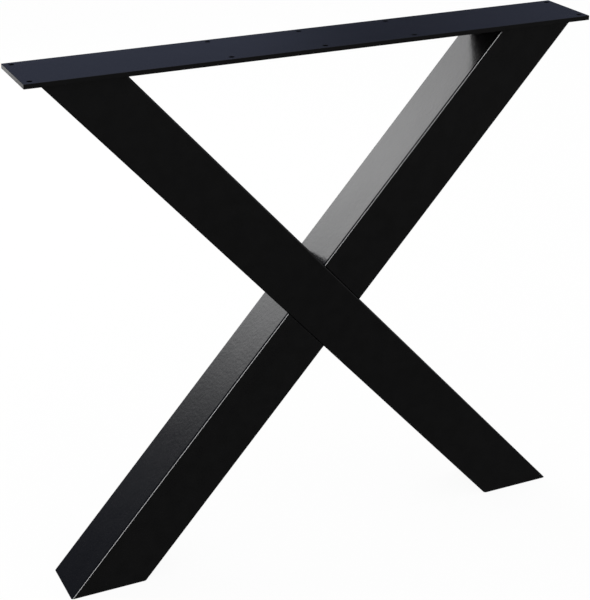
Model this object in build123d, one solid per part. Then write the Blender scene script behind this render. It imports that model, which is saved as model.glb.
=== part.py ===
"""X-shaped steel table base: two square-tube legs that cross, welded under a drilled mounting plate.

One leg runs through from the plate's left end to the right foot. The other leg is two half legs, each mitred
to the through leg's side and welded to it. A flat plate closes each foot. Everything is coated black.

Frame: +X along the plate, +Y to the back, +Z up. The origin is on the floor, under the middle of the plate.
All sizes are in millimetres.
"""

import os
from math import asin, atan2, cos, hypot, sin, sqrt, tan

from build123d import *

# Overall size
BASE_HEIGHT = 720.0  # floor to the plate's top face
FOOT_SPREAD = 752.0  # across both feet, over their outer corners

# Mounting plate
PLATE_LENGTH = 780.0
PLATE_WIDTH = 100.0
PLATE_THICKNESS = 6.0
PLATE_EDGE_ROUND = 0.3
LEG_END_MARGIN = 21.0  # plate's end to the outer corner of the leg under it

# Screw holes in the plate, in two rows
HOLE_DIAMETER = 7.0
HOLE_RIM_BREAK = 0.1  # bevel around both rims of a hole
HOLE_SIDE_MARGIN = 10.0  # hole centre to the plate's long edge
HOLE_END_MARGIN = 10.0  # outer hole centre to the plate's end
INNER_HOLE_OFFSET = 127.0  # plate's middle to the holes between the legs

# Square tube of the legs
TUBE_SIZE = 80.0
TUBE_WALL = 2.0
TUBE_CORNER = 3.0  # outer corner radius

# Plates that close the feet
FOOT_PLATE_THICKNESS = 3.0
FOOT_PLATE_GAP = 1.0  # room for weld metal between the foot plate and the tube
FOOT_PLATE_CORNER = 2.0

# Weld beads
PLATE_WELD_LEG = 3.0  # fillet under the plate, along each of its two legs
PLATE_WELD_BULGE = 0.6  # share of the fillet's width that is left half-way down
PLATE_WELD_TOE = 0.4  # blunt lower edge of the fillet
SEAM_BEVEL = 0.8  # on the half legs' mitred edges, along the seams
SEAM_OPEN_SHARE = 0.6  # share of the groove's depth at the crossing that the seam leaves open

# The smallest inner corner that a tube is rolled to
INNER_CORNER_MIN = 0.3
SEAM_ROOT_LIMIT = 0.8  # a seam's root stays within this share of the tube's corner radius

# Worked out from the sizes above
PLATE_UNDERSIDE = BASE_HEIGHT - PLATE_THICKNESS
LEG_TOP_OUTER = PLATE_LENGTH / 2 - LEG_END_MARGIN
FOOT_OUTER = FOOT_SPREAD / 2
LEG_SPAN = LEG_TOP_OUTER + FOOT_OUTER

# A leg leans so that its outer corners land on both spreads with the tube's full width between its sides
LEAN = atan2(PLATE_UNDERSIDE, LEG_SPAN) + asin(TUBE_SIZE / hypot(LEG_SPAN, PLATE_UNDERSIDE))
CUT_LENGTH = TUBE_SIZE / sin(LEAN)  # the tube's width along a level cut
LEG_TOP_X = LEG_TOP_OUTER - CUT_LENGTH / 2
FOOT_X = FOOT_OUTER - CUT_LENGTH / 2
CROSSING_HEIGHT = PLATE_UNDERSIDE * FOOT_X / (LEG_TOP_X + FOOT_X)

HALF_TUBE = TUBE_SIZE / 2
INNER_SIZE = TUBE_SIZE - 2 * TUBE_WALL
INNER_CORNER = max(TUBE_CORNER - TUBE_WALL, INNER_CORNER_MIN)
CROSSING_ANGLE = 2 * LEAN
BAR_REACH = hypot(LEG_SPAN, BASE_HEIGHT)  # long enough to run past both level cuts
SEAM_ROOT = min(TUBE_WALL, SEAM_ROOT_LIMIT * TUBE_CORNER)  # how deep the weld metal reaches
SEAM_RECESS = SEAM_OPEN_SHARE * SEAM_ROOT  # how deep its face lies

LEFT, RIGHT = -1, 1


def leg_plane(top_side):
    """Section plane at the crossing for the leg whose top is on that side: local x to the front, y up."""
    return Plane(
        origin=(0, 0, CROSSING_HEIGHT),
        x_dir=(0, -1, 0),
        z_dir=(top_side * cos(LEAN), 0, sin(LEAN)),
    )


def leg_bar(top_side, size, corner):
    """Endless round-cornered square bar along a leg."""
    section = leg_plane(top_side) * RectangleRounded(size, size, corner)
    return extrude(section, amount=BAR_REACH, both=True)


def level_slab(bottom, top):
    """Everything between two heights."""
    slab = Box(4 * BAR_REACH, 4 * BAR_REACH, top - bottom, align=(Align.CENTER, Align.CENTER, Align.MIN))
    return Pos(0, 0, bottom) * slab


def leg_tube(top_side):
    """Hollow leg with level cuts at the floor and under the plate."""
    outer = leg_bar(top_side, TUBE_SIZE, TUBE_CORNER)
    inner = leg_bar(top_side, INNER_SIZE, INNER_CORNER)
    return (outer - inner) & level_slab(0, PLATE_UNDERSIDE)


def half_legs():
    """The crossed leg's lower and upper halves, mitred flat against the through leg's sides.

    Their mitred edges at the front and the back are bevelled for the seams.
    """
    room = Rectangle(2 * TUBE_SIZE, TUBE_SIZE)
    bevel_side = sqrt(2) * min(SEAM_BEVEL, SEAM_RECESS)
    for x in (-HALF_TUBE, HALF_TUBE):
        for y in (-HALF_TUBE, HALF_TUBE):
            room += Pos(x, y) * Rectangle(bevel_side, bevel_side, rotation=45)
    through_room = extrude(leg_plane(LEFT) * room, amount=BAR_REACH, both=True)
    halves = (leg_tube(RIGHT) - through_room).solids()
    return halves.sort_by(Axis.Z)


def screw_hole():
    """Cutter for one screw hole, centred in the plate's thickness, with both rims bevelled."""
    radius = HOLE_DIAMETER / 2
    wide = radius + 2 * HOLE_RIM_BREAK
    top_rim = Pos(0, 0, PLATE_THICKNESS / 2) * Cone(radius, wide, 2 * HOLE_RIM_BREAK)
    bottom_rim = Pos(0, 0, -PLATE_THICKNESS / 2) * Cone(wide, radius, 2 * HOLE_RIM_BREAK)
    return Cylinder(radius, 2 * PLATE_THICKNESS) + top_rim + bottom_rim


def mounting_plate():
    """Flat bar with softened edges and two rows of screw holes, clear of the legs."""
    plate = Pos(0, 0, PLATE_UNDERSIDE) * Box(
        PLATE_LENGTH, PLATE_WIDTH, PLATE_THICKNESS, align=(Align.CENTER, Align.CENTER, Align.MIN)
    )
    plate = fillet(plate.edges(), PLATE_EDGE_ROUND)
    outer_hole_x = PLATE_LENGTH / 2 - HOLE_END_MARGIN
    hole_y = PLATE_WIDTH / 2 - HOLE_SIDE_MARGIN
    hole = Pos(0, 0, BASE_HEIGHT - PLATE_THICKNESS / 2) * screw_hole()
    for x in (-outer_hole_x, -INNER_HOLE_OFFSET, 0, INNER_HOLE_OFFSET, outer_hole_x):
        for y in (-hole_y, hole_y):
            plate -= Pos(x, y, 0) * hole
    return plate


def foot_room(top_side):
    """The tube's hollow over the foot plate's thickness, in the leg whose top is on that side."""
    return leg_bar(top_side, INNER_SIZE, INNER_CORNER) & level_slab(0, FOOT_PLATE_THICKNESS)


def foot_plate(top_side):
    """Square-edged plate set flush in the foot of the leg whose top is on that side."""
    lean_shift = FOOT_PLATE_THICKNESS / tan(LEAN)  # how far the leaning hollow moves over the plate
    length = INNER_SIZE / sin(LEAN) - lean_shift - 2 * FOOT_PLATE_GAP
    depth = INNER_SIZE - 2 * FOOT_PLATE_GAP
    centre_x = -top_side * (FOOT_X - lean_shift / 2)
    outline = Pos(centre_x, 0, 0) * RectangleRounded(length, depth, FOOT_PLATE_CORNER)
    return extrude(outline, amount=FOOT_PLATE_THICKNESS)


def foot_weld(top_side):
    """Weld metal ground flush in the gap around a foot plate."""
    return foot_room(top_side) - foot_plate(top_side)


def plate_weld(top_side):
    """Fillet bead around a leg's top, in the corner between the tube and the plate's underside."""
    stations = (
        (0, PLATE_WELD_LEG),
        (PLATE_WELD_LEG / 2, PLATE_WELD_LEG * PLATE_WELD_BULGE),
        (PLATE_WELD_LEG, PLATE_WELD_TOE),
    )
    outlines = []
    for depth, spread in stations:
        centre = Pos(top_side * (LEG_TOP_X - depth / tan(LEAN)), 0, PLATE_UNDERSIDE - depth)
        outlines.append(
            centre * RectangleRounded(CUT_LENGTH + 2 * spread, TUBE_SIZE + 2 * spread, TUBE_CORNER + spread)
        )
    return loft(outlines, ruled=True) - leg_bar(top_side, TUBE_SIZE, TUBE_CORNER)


def seam_welds(level):
    """Front and back seams of a half leg: weld metal in the groove beside the through leg's round corner.

    level is 1 for the upper half leg and -1 for the lower one.
    """
    length = (TUBE_SIZE - 2 * TUBE_CORNER) / sin(CROSSING_ANGLE)
    along = -level * HALF_TUBE / tan(CROSSING_ANGLE)  # where the half leg's middle meets the side
    through_bar = leg_bar(LEFT, TUBE_SIZE, TUBE_CORNER)
    seams = []
    for face in (-1, 1):
        across = face * (HALF_TUBE - (SEAM_ROOT + SEAM_RECESS) / 2)
        up = level * (HALF_TUBE - TUBE_CORNER / 2)
        block = leg_plane(LEFT) * Pos(across, up, along) * Box(SEAM_ROOT - SEAM_RECESS, TUBE_CORNER, length)
        seams.append((block - through_bar).solid())
    return Compound(children=seams)


def build():
    """Every piece of the base, by name."""
    lower_half, upper_half = half_legs()
    return {
        "mounting_plate": mounting_plate(),
        "through_leg": leg_tube(LEFT),
        "upper_half_leg": upper_half,
        "lower_half_leg": lower_half,
        "left_foot_plate": foot_plate(RIGHT),
        "right_foot_plate": foot_plate(LEFT),
        "left_foot_weld": foot_weld(RIGHT),
        "right_foot_weld": foot_weld(LEFT),
        "left_plate_weld": plate_weld(LEFT),
        "right_plate_weld": plate_weld(RIGHT),
        "upper_seam_welds": seam_welds(1),
        "lower_seam_welds": seam_welds(-1),
    }


os.makedirs("parts", exist_ok=True)
for name, piece in build().items():
    export_step(piece, f"parts/{name}.step")
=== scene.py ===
"""Looks of the X-shaped table base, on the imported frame: black powder coat, floor, light and camera.

Everything is in metres, in the frame of the solids: +X along the mounting plate, +Y to the back, +Z up.
A light's level and a card's level are its brightness, where 1 is white.
"""

import math

import bpy
from mathutils import Matrix, Vector

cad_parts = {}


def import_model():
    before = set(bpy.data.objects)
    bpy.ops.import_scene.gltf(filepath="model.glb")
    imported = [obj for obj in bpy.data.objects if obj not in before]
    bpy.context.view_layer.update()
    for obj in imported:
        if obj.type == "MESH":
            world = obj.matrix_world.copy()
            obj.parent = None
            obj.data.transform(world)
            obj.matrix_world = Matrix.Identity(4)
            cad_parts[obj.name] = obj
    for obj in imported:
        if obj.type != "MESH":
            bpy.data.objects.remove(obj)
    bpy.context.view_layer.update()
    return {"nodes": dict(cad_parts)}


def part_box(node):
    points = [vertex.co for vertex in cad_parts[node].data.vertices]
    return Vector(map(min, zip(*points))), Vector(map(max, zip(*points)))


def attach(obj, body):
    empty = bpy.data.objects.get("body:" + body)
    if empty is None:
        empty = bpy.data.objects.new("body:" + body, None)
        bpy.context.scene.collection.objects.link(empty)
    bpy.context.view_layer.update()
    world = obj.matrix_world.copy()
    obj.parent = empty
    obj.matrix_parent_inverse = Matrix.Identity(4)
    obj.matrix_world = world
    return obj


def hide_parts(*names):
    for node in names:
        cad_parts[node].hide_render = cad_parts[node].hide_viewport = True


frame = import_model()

# Powder coat
COAT_COLOUR = (0.0025, 0.0025, 0.0026)
COAT_ROUGHNESS = 0.18
COAT_IOR = 1.45
TONE_SIZE = 1 / 60  # width of one patch of uneven colour and gloss
TONE_SPREAD = 0.15  # share of the colour that it varies by, up and down
GLOSS_SPREAD = 0.03  # how far the roughness varies, up and down
PEEL_SIZE = 0.005  # width of one dimple of the coat's orange peel
PEEL_DEPTH = 0.0001
WAVE_SIZE = 0.04  # width of one of the tube walls' long waves
WAVE_DEPTH = 0.0002
NOISE_LOW, NOISE_HIGH = 0.3, 0.7  # most of a noise texture's values lie between these

# Coat on the seams at the crossing: its colour is darker than the powder coat, painted shade for the seams'
# grooves
WELD_SHADED_COLOUR = (0.001, 0.001, 0.00105)
WELD_HOLLOW_SHADE = 0.7  # share of the colour that is left in the darkest places, the ripple's hollows: painted shade
WELD_SPECULAR = 0.05
WELD_ROUGHNESS = 0.4
WELD_GLOSS_SPREAD = 0.1
RIPPLE_SIZE = 0.004
RIPPLE_DEPTH = 0.0005

# Legs, as the frame has them
LEG_LOW, LEG_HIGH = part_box("through_leg")
LEG_SPAN, TUBE_SIZE, LEG_HEIGHT = LEG_HIGH - LEG_LOW
LEG_LEAN = math.atan2(LEG_HEIGHT, LEG_SPAN) + math.asin(TUBE_SIZE / math.hypot(LEG_SPAN, LEG_HEIGHT))
TUBE_CORNER = 0.003
CORNER_STEPS = 8  # straight pieces that a round corner of a leg's outline is drawn with

# Fillet beads between the legs and the plate
BEAD_LOW, BEAD_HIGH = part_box("left_plate_weld")
BEAD_LEG = BEAD_HIGH.z - BEAD_LOW.z
BEAD_CROWN = 0.00035  # how far the bead's face stands out at the top of a ripple
BEAD_RIPPLE = 0.0035  # from one ripple to the next
BEAD_DIP = 0.0003  # how deep the face lies between two ripples
BEAD_SWEEP = 0.0012  # how far a ripple's middle runs ahead of its ends
BEAD_STEPS = 6  # points along one ripple, and across the face

# Floor and world
FLOOR_SIZE = 60.0
FLOOR_COLOUR = (0.93, 0.93, 0.93)
FLOOR_GLOW = 0.94  # share of the floor's white that shadows don't take
WORLD_LEVEL = 0.9

# Dim tent: a shade is an angle in degrees from the back towards the right, and a share of a colour
TENT_RADIUS = 4.5
TENT_HEIGHT = 9.0
TENT_SIDES = 64
TENT_BLUE = (0.116, 0.131, 0.194)
TENT_GREY = (0.125, 0.125, 0.128)
TENT_SHADES = (
    (-75, 1.1, TENT_BLUE), (-60, 0.55, TENT_BLUE), (0, 0.55, TENT_BLUE), (8, 1.05, TENT_BLUE),
    (20, 1.0, TENT_BLUE), (29, 0.54, TENT_BLUE), (40, 0.76, TENT_BLUE),
    (60, 1.8, TENT_GREY), (85, 3.6, TENT_GREY), (125, 3.0, TENT_GREY), (150, 1.0, TENT_GREY),
)

# Floor flag, a card just above the floor: a shade is a place along Y and a level
FLAG_WIDTH = 10.0
FLAG_FRONT, FLAG_BACK = -6.0, 4.0
FLAG_HEIGHT = 0.0004
FLAG_SHADES = (
    (-1.6, 0.105), (-1.0, 0.086), (-0.1, 0.083), (0.1, 0.05), (1.7, 0.06), (2.3, 0.45), (2.7, 0.92),
)

# Back softbox: a shade is a place along its slant, which adds up shares of X and Z, and a share of its level
BACK_LEFT, BACK_RIGHT = -3.2, -0.3
BACK_BOTTOM, BACK_TOP = 0.3, 2.8
BACK_Y = 3.0
BACK_LEVEL = 4.15
SLANT_X, SLANT_Z = 0.53, 0.47
SLANT_LOW, SLANT_HIGH = -1.2, 0.8
BACK_SHADES = (
    (-1.08, 0.005), (-0.638, 0.035), (-0.442, 0.175), (-0.197, 0.6),
    (0.062, 0.89), (0.242, 0.99), (0.737, 0.8),
)

# Strip softbox
STRIP_PLACE = (-1.55, -2.69, 1.40)
STRIP_TARGET = (-0.08, -0.04, 0.36)
STRIP_SIZE = (1.0, 3.2)
STRIP_LEVEL = 20.0

# Camera, fitted to the photograph's edges: angles in degrees, image sizes in pixels, sensor in millimetres
CAMERA_PLACE = (-0.81664, -1.73874, 1.21514)
CAMERA_AZIMUTH = 25.227
CAMERA_DOWN = 23.464
FOCAL_PIXELS = 1535.65
PRINCIPAL_POINT = (313.58, 281.70)
IMAGE_SIZE = (590, 600)
SENSOR = 36.0


class Nodes:
    """Short way to add and link the shader nodes of one material, lamp or world."""

    def __init__(self, tree):
        self.tree = tree

    def add(self, kind, **settings):
        """New node, with its sockets and settings by name."""
        node = self.tree.nodes.new(kind)
        for key, value in settings.items():
            if key in node.inputs:
                node.inputs[key].default_value = value
            else:
                setattr(node, key, value)
        return node

    def link(self, output, socket):
        """Link from one node to another."""
        self.tree.links.new(output, socket)

    def math(self, operation, first, second):
        """Result of a sum on two values, each a socket or a number."""
        node = self.add("ShaderNodeMath", operation=operation)
        for socket, value in zip(node.inputs, (first, second)):
            if isinstance(value, (int, float)):
                socket.default_value = value
            else:
                self.link(value, socket)
        return node.outputs["Value"]

    def ramp(self, value, stops):
        """Colour that runs through the stops, each a place from 0 to 1 and a colour."""
        node = self.add("ShaderNodeValToRGB")
        node.color_ramp.interpolation = "EASE"
        elements = node.color_ramp.elements
        while len(elements) < len(stops):
            elements.new(0.5)
        for element, (place, colour) in zip(elements, stops):
            element.position = place
            element.color = (*colour, 1.0)
        self.link(value, node.inputs["Fac"])
        return node.outputs["Color"]

    def greys(self, value, low, high, stops):
        """Grey that runs through the stops, each a value between low and high and a level."""
        along = self.math("DIVIDE", self.math("SUBTRACT", value, low), high - low)
        shades = [((place - low) / (high - low), (level, level, level)) for place, level in stops]
        return self.ramp(along, shades)

    def object_place(self):
        """Place on the object."""
        return self.add("ShaderNodeTexCoord").outputs["Object"]

    def axes(self, place):
        """X, Y and Z of a place."""
        node = self.add("ShaderNodeSeparateXYZ")
        self.link(place, node.inputs["Vector"])
        return node.outputs

    def noise(self, place, size, detail):
        """Noise from 0 to 1, with patches of about one size."""
        node = self.add("ShaderNodeTexNoise", Scale=1.0 / size, Detail=detail)
        self.link(place, node.inputs["Vector"])
        return node.outputs["Fac"]

    def around(self, value, middle, spread):
        """Number around a middle, from a value between 0 and 1."""
        node = self.add("ShaderNodeMapRange")
        node.inputs["To Min"].default_value = middle - spread
        node.inputs["To Max"].default_value = middle + spread
        self.link(value, node.inputs["Value"])
        return node.outputs["Result"]

    def bump(self, height, depth, normal=None):
        """Surface direction over a height from 0 to 1, on top of another bump's if one is given."""
        node = self.add("ShaderNodeBump", Strength=1.0, Distance=depth)
        self.link(height, node.inputs["Height"])
        if normal:
            self.link(normal, node.inputs["Normal"])
        return node.outputs["Normal"]


def new_material(name):
    """Node material, with its shader nodes and its Principled shader."""
    material = bpy.data.materials.new(name)
    material.use_nodes = True
    nodes = Nodes(material.node_tree)
    return material, nodes, material.node_tree.nodes["Principled BSDF"]


def powder_coat(name):
    """Satin black powder coat: orange peel in the surface, gloss that varies a little from place to place."""
    material, nodes, shader = new_material(name)
    shader.inputs["IOR"].default_value = COAT_IOR
    place = nodes.object_place()
    tone = nodes.noise(place, TONE_SIZE, detail=3.0)
    dark = [(1 - TONE_SPREAD) * c for c in COAT_COLOUR]
    light = [(1 + TONE_SPREAD) * c for c in COAT_COLOUR]
    nodes.link(nodes.ramp(tone, ((NOISE_LOW, dark), (NOISE_HIGH, light))), shader.inputs["Base Color"])
    nodes.link(nodes.around(tone, COAT_ROUGHNESS, GLOSS_SPREAD), shader.inputs["Roughness"])
    waves = nodes.bump(nodes.noise(place, WAVE_SIZE, detail=0.0), WAVE_DEPTH)
    peel = nodes.bump(nodes.noise(place, PEEL_SIZE, detail=1.0), PEEL_DEPTH, waves)
    nodes.link(peel, shader.inputs["Normal"])
    return material


def weld_coat(name):
    """Dull coat over the rippled metal of a weld, with painted shade: darker than the powder coat, and
    darkest where the ripple lies low.
    """
    material, nodes, shader = new_material(name)
    shader.inputs["IOR"].default_value = COAT_IOR
    shader.inputs["Specular IOR Level"].default_value = WELD_SPECULAR
    ripple = nodes.noise(nodes.object_place(), RIPPLE_SIZE, detail=2.0)
    # painted shade: the colour darkens where the ripple lies low, as the bump below does
    dark = [WELD_HOLLOW_SHADE * c for c in WELD_SHADED_COLOUR]
    tone = nodes.ramp(ripple, ((NOISE_LOW, dark), (NOISE_HIGH, WELD_SHADED_COLOUR)))
    nodes.link(tone, shader.inputs["Base Color"])
    nodes.link(nodes.around(ripple, WELD_ROUGHNESS, WELD_GLOSS_SPREAD), shader.inputs["Roughness"])
    nodes.link(nodes.bump(ripple, RIPPLE_DEPTH), shader.inputs["Normal"])
    return material


def dress(node, material):
    """Gives a solid of the frame its material."""
    slots = frame["nodes"][node].data.materials
    slots.clear()
    slots.append(material)


def new_mesh(name, points, faces):
    """Mesh object in the scene."""
    mesh = bpy.data.meshes.new(name)
    mesh.from_pydata(points, [], faces)
    obj = bpy.data.objects.new(name, mesh)
    bpy.context.scene.collection.objects.link(obj)
    return obj


def leg_corners():
    """Points on the level outline of a leg about its middle, with the outward directions there."""
    flat = TUBE_SIZE / 2 - TUBE_CORNER
    stretch = 1 / math.sin(LEG_LEAN)
    corners = []
    for quarter, (x, y) in enumerate(((1, 1), (-1, 1), (-1, -1), (1, -1))):
        for step in range(CORNER_STEPS + 1):
            turn = math.radians(90 * (quarter + step / CORNER_STEPS))
            x_out, y_out = math.cos(turn), math.sin(turn)
            point = Vector((stretch * (x * flat + TUBE_CORNER * x_out), y * flat + TUBE_CORNER * y_out, 0))
            corners.append((point, Vector((x_out / stretch, y_out, 0)).normalized()))
    return corners


def leg_outline(spacing):
    """The same outline, with points at even spacing."""
    corners = leg_corners()
    sides = list(zip(corners, corners[1:] + corners[:1]))
    length = sum((end[0] - start[0]).length for start, end in sides)
    count = round(length / spacing)
    outline, passed = [], 0.0
    for (start, start_out), (end, end_out) in sides:
        side = (end - start).length
        while len(outline) < count and len(outline) * length / count < passed + side:
            share = (len(outline) * length / count - passed) / side
            outline.append((start.lerp(end, share), start_out.lerp(end_out, share).normalized()))
        passed += side
    return outline


def bead_row(root, out, down, ripples):
    """Points across a bead at one place: its root, then its face from the plate down to the leg.

    ripples is how many ripples of the bead have gone before.
    """
    row = [root]
    for step in range(BEAD_STEPS + 1):
        across = step / BEAD_STEPS
        swell = math.sin(math.pi * across)
        ripple = abs(math.sin(math.pi * (ripples + swell * BEAD_SWEEP / BEAD_RIPPLE)))
        crown = swell * (BEAD_CROWN - BEAD_DIP * (1 - ripple))
        flat = BEAD_LEG * ((1 - across) * out + across * down)
        row.append(root + flat + crown * (out + Vector((0, 0, -1))).normalized())
    return row


def loop_faces(rows, size):
    """Faces of a loop that closes on itself, from its rows of points, which each go once around it."""
    faces = []
    for row in range(rows):
        here, there = row * size, (row + 1) % rows * size
        for first in range(size):
            second = (first + 1) % size
            faces.append((here + first, here + second, there + second, there + first))
    return faces


def plate_bead(node, side):
    """Rippled fillet bead around a leg's top, in place of its plain solid, left (-1) or right (1)."""
    low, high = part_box(node)
    outer_x = max(abs(low.x), abs(high.x))
    middle = Vector((side * (outer_x - BEAD_LEG - TUBE_SIZE / 2 / math.sin(LEG_LEAN)), 0, high.z))
    down = Vector((-side / math.tan(LEG_LEAN), 0, -1))
    outline = leg_outline(BEAD_RIPPLE / BEAD_STEPS)
    points = []
    for i, (place, out) in enumerate(outline):
        points += bead_row(middle + place, out, down, i / BEAD_STEPS)
    bead = new_mesh(node + "_bead", points, loop_faces(len(outline), BEAD_STEPS + 2))
    bead.data.shade_smooth()
    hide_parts(node)
    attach(bead, "root")
    return bead


def stage_mesh(name, points, faces):
    """Mesh of the stage, outside the part."""
    obj = new_mesh(name, points, faces)
    return obj


def level_panel(name, left, front, z, width, depth):
    """Level rectangle."""
    right, back = left + width, front + depth
    points = [(left, front, z), (right, front, z), (right, back, z), (left, back, z)]
    return stage_mesh(name, points, [(0, 1, 2, 3)])


def upright_ring(name, radius, height, sides):
    """Upright ring around the origin."""
    points = []
    for i in range(sides):
        angle = math.tau * i / sides
        for z in (0.0, height):
            points.append((radius * math.cos(angle), radius * math.sin(angle), z))
    count = 2 * sides
    faces = [(2 * i, (2 * i + 2) % count, (2 * i + 3) % count, 2 * i + 1) for i in range(sides)]
    return stage_mesh(name, points, faces)


def floor():
    """Plain white floor: part of its white is its own, so that the object's shadow on it stays pale."""
    obj = level_panel("floor", -FLOOR_SIZE / 2, -FLOOR_SIZE / 2, 0.0, FLOOR_SIZE, FLOOR_SIZE)
    material, _, shader = new_material("floor_white")
    shader.inputs["Base Color"].default_value = (*[(1 - FLOOR_GLOW) * c for c in FLOOR_COLOUR], 1.0)
    shader.inputs["Roughness"].default_value = 1.0
    shader.inputs["Specular IOR Level"].default_value = 0.0
    shader.inputs["Emission Color"].default_value = (1.0, 1.0, 1.0, 1.0)
    shader.inputs["Emission Strength"].default_value = FLOOR_GLOW
    material.cycles.emission_sampling = "NONE"
    obj.data.materials.append(material)


def glow_material(name):
    """Plain glowing material that lights nothing, with its nodes and its Emission shader."""
    material = bpy.data.materials.new(name)
    material.use_nodes = True
    material.cycles.emission_sampling = "NONE"
    material.node_tree.nodes.clear()
    nodes = Nodes(material.node_tree)
    emission = nodes.add("ShaderNodeEmission", Strength=1.0)
    output = nodes.add("ShaderNodeOutputMaterial")
    nodes.link(emission.outputs["Emission"], output.inputs["Surface"])
    return material, nodes, emission


def only_in_reflections(obj):
    """Makes a card of the stage show in the coat's reflections and nowhere else."""
    obj.visible_camera = False
    obj.visible_diffuse = False
    obj.visible_shadow = False
    obj.visible_transmission = False


def dim_tent():
    """Dim cloth around the set, a little uneven behind the plate."""
    obj = upright_ring("dim_tent", TENT_RADIUS, TENT_HEIGHT, TENT_SIDES)
    material, nodes, emission = glow_material("dim_tent")
    place = nodes.axes(nodes.object_place())
    turn = nodes.math("ARCTAN2", place["X"], place["Y"])
    around = nodes.math("ADD", nodes.math("DIVIDE", turn, math.tau), 0.5)
    shades = [(0.5 + degrees / 360, [share * c for c in colour]) for degrees, share, colour in TENT_SHADES]
    nodes.link(nodes.ramp(around, shades), emission.inputs["Color"])
    obj.data.materials.append(material)
    only_in_reflections(obj)


def floor_flag():
    """Dark card on the floor in front, which turns to white behind the object."""
    depth = FLAG_BACK - FLAG_FRONT
    obj = level_panel("floor_flag", -FLAG_WIDTH / 2, FLAG_FRONT, FLAG_HEIGHT, FLAG_WIDTH, depth)
    material, nodes, emission = glow_material("floor_flag")
    place = nodes.axes(nodes.object_place())
    nodes.link(nodes.greys(place["Y"], FLAG_FRONT, FLAG_BACK, FLAG_SHADES), emission.inputs["Color"])
    obj.data.materials.append(material)
    only_in_reflections(obj)


def softbox(name, size, level):
    """Rectangular lamp with a face of one brightness."""
    lamp = bpy.data.lights.new(name, "AREA")
    lamp.shape = "RECTANGLE"
    lamp.size, lamp.size_y = size
    lamp.energy = level * math.pi * lamp.size * lamp.size_y
    obj = bpy.data.objects.new(name, lamp)
    obj.visible_camera = False
    bpy.context.scene.collection.objects.link(obj)
    return obj, lamp


def collection_of(name, nodes):
    """Collection of some of the frame's solids, for a lamp to be linked to."""
    collection = bpy.data.collections.new(name)
    for node in nodes:
        collection.objects.link(frame["nodes"][node])
    return collection


def flagged_off():
    """Collection that keeps a lamp off the plate and the through leg, as a flag beside it would."""
    flagged = collection_of("flagged_off", ("mounting_plate", "through_leg"))
    for member in flagged.collection_objects:
        member.light_linking.link_state = "EXCLUDE"
    return flagged


def back_softbox():
    """Tall softbox behind on the left, which dies away towards the floor."""
    obj, lamp = softbox("back_softbox", (BACK_RIGHT - BACK_LEFT, BACK_TOP - BACK_BOTTOM), BACK_LEVEL)
    obj.location = ((BACK_LEFT + BACK_RIGHT) / 2, BACK_Y, (BACK_BOTTOM + BACK_TOP) / 2)
    obj.rotation_euler = (math.radians(90), 0, math.radians(180))
    obj.light_linking.receiver_collection = flagged_off()
    lamp.use_nodes = True
    nodes = Nodes(lamp.node_tree)
    place = nodes.axes(nodes.add("ShaderNodeNewGeometry").outputs["Position"])
    sideways = nodes.math("MULTIPLY", place["X"], SLANT_X)
    upward = nodes.math("MULTIPLY", place["Z"], SLANT_Z)
    shade = nodes.greys(nodes.math("ADD", sideways, upward), SLANT_LOW, SLANT_HIGH, BACK_SHADES)
    nodes.link(shade, lamp.node_tree.nodes["Emission"].inputs["Color"])


def strip_softbox():
    """Long softbox in front, along the crossed leg: its gloss is the light line on the leg's corner."""
    obj, _ = softbox("strip_softbox", STRIP_SIZE, STRIP_LEVEL)
    back = (Vector(STRIP_PLACE) - Vector(STRIP_TARGET)).normalized()
    along = Vector((math.cos(LEG_LEAN), 0, math.sin(LEG_LEAN)))
    across = along.cross(back).normalized()
    obj.matrix_world = Matrix((across, back.cross(across), back)).transposed().to_4x4()
    obj.location = STRIP_PLACE
    obj.visible_diffuse = False
    obj.light_linking.receiver_collection = collection_of("crossed_leg", ("upper_half_leg", "lower_half_leg"))


def world():
    """Even pale surroundings, which look white and light the object a little less."""
    studio = bpy.data.worlds.new("studio")
    bpy.context.scene.world = studio
    studio.use_nodes = True
    nodes = Nodes(studio.node_tree)
    rays = nodes.add("ShaderNodeLightPath").outputs
    seen = nodes.math("ADD", rays["Is Camera Ray"], rays["Is Glossy Ray"])
    seen = nodes.math("MINIMUM", nodes.math("ADD", seen, rays["Is Transmission Ray"]), 1.0)
    level = nodes.math("ADD", nodes.math("MULTIPLY", seen, 1.0 - WORLD_LEVEL), WORLD_LEVEL)
    background = studio.node_tree.nodes["Background"]
    background.inputs["Color"].default_value = (1.0, 1.0, 1.0, 1.0)
    nodes.link(level, background.inputs["Strength"])


def camera():
    """Camera at the photograph's place, angle and framing."""
    data = bpy.data.cameras.new("camera")
    data.sensor_fit = "VERTICAL"
    data.sensor_height = SENSOR
    data.lens = FOCAL_PIXELS * SENSOR / IMAGE_SIZE[1]
    data.shift_x = (IMAGE_SIZE[0] / 2 - PRINCIPAL_POINT[0]) / IMAGE_SIZE[1]
    data.shift_y = (PRINCIPAL_POINT[1] - IMAGE_SIZE[1] / 2) / IMAGE_SIZE[1]
    obj = bpy.data.objects.new("camera", data)
    obj.location = CAMERA_PLACE
    obj.rotation_euler = (math.radians(90 - CAMERA_DOWN), 0, math.radians(-CAMERA_AZIMUTH))
    bpy.context.scene.collection.objects.link(obj)
    bpy.context.scene.camera = obj


coat = powder_coat("black_powder_coat")
# weld coat, whose darker colour is painted shade in the crossing's seams
shaded_weld_coat = weld_coat("weld_coat_painted_shade")
for node in frame["nodes"]:
    dress(node, shaded_weld_coat if node.endswith("seam_welds") else coat)
for node, side in (("left_plate_weld", -1), ("right_plate_weld", 1)):
    plate_bead(node, side).data.materials.append(coat)

floor()
world()
dim_tent()
floor_flag()
back_softbox()
strip_softbox()
camera()

bpy.context.scene.view_settings.view_transform = "Standard"
